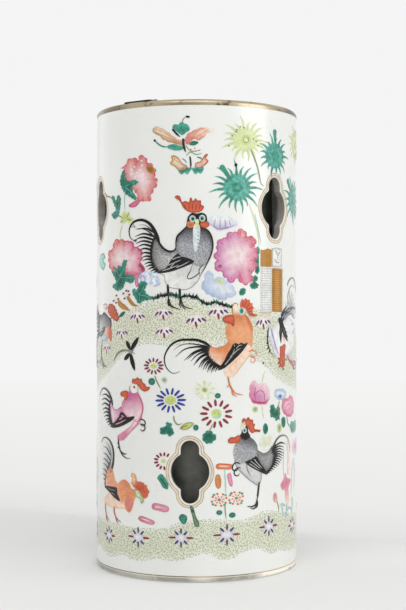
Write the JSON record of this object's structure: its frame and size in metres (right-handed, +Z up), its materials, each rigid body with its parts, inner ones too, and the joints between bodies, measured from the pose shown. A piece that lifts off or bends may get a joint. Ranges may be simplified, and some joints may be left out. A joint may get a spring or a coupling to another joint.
{
  "type": "cylindrical hat stand",
  "caption": "Tall straight porcelain cylinder with lobed windows in two rows, a rounded lip, a foot ring and a lift-out metal liner with wire handles.",
  "frame": {"origin": "centre of the foot ring on the surface the stand rests on", "axes": "+Z up along the cylinder, -Y towards the front, +X to the right seen from the front"},
  "size_m": [0.125, 0.125, 0.2834],
  "materials": {
    "glazed_porcelain": "clear glossy glaze over white porcelain, with painted overglaze enamels",
    "liner_sheet": "dark grey mottled patina on sheet metal",
    "dark_wire": "dark brown oxidised wire and strap"
  },
  "bodies": {
    "stand": {"porcelain_body": "glazed_porcelain"},
    "liner": {"liner_wall": "liner_sheet", "liner_bottom": "liner_sheet", "liner_rim_wire": "liner_sheet", "liner_side_seam": "liner_sheet", "handle_bracket_front": "dark_wire", "handle_bracket_back": "dark_wire"},
    "front_handle": {"lifting_handle_front": "dark_wire"},
    "back_handle": {"lifting_handle_back": "dark_wire"}
  },
  "joints": [
    {"name": "liner_lift", "type": "slide", "parent": "stand", "child": "liner", "axis": [0, 0, 1], "range_m": [0, 0.29]},
    {"name": "front_handle_turn", "type": "hinge", "parent": "liner", "child": "front_handle", "pos_m": [-0.02977, -0.04098, 0.2816], "axis": [-0.809, 0.5878, 0], "range_deg": [0, 200]},
    {"name": "back_handle_turn", "type": "hinge", "parent": "liner", "child": "back_handle", "pos_m": [0.02977, 0.04098, 0.2816], "axis": [0.809, -0.5878, 0], "range_deg": [0, 200]}
  ]
}
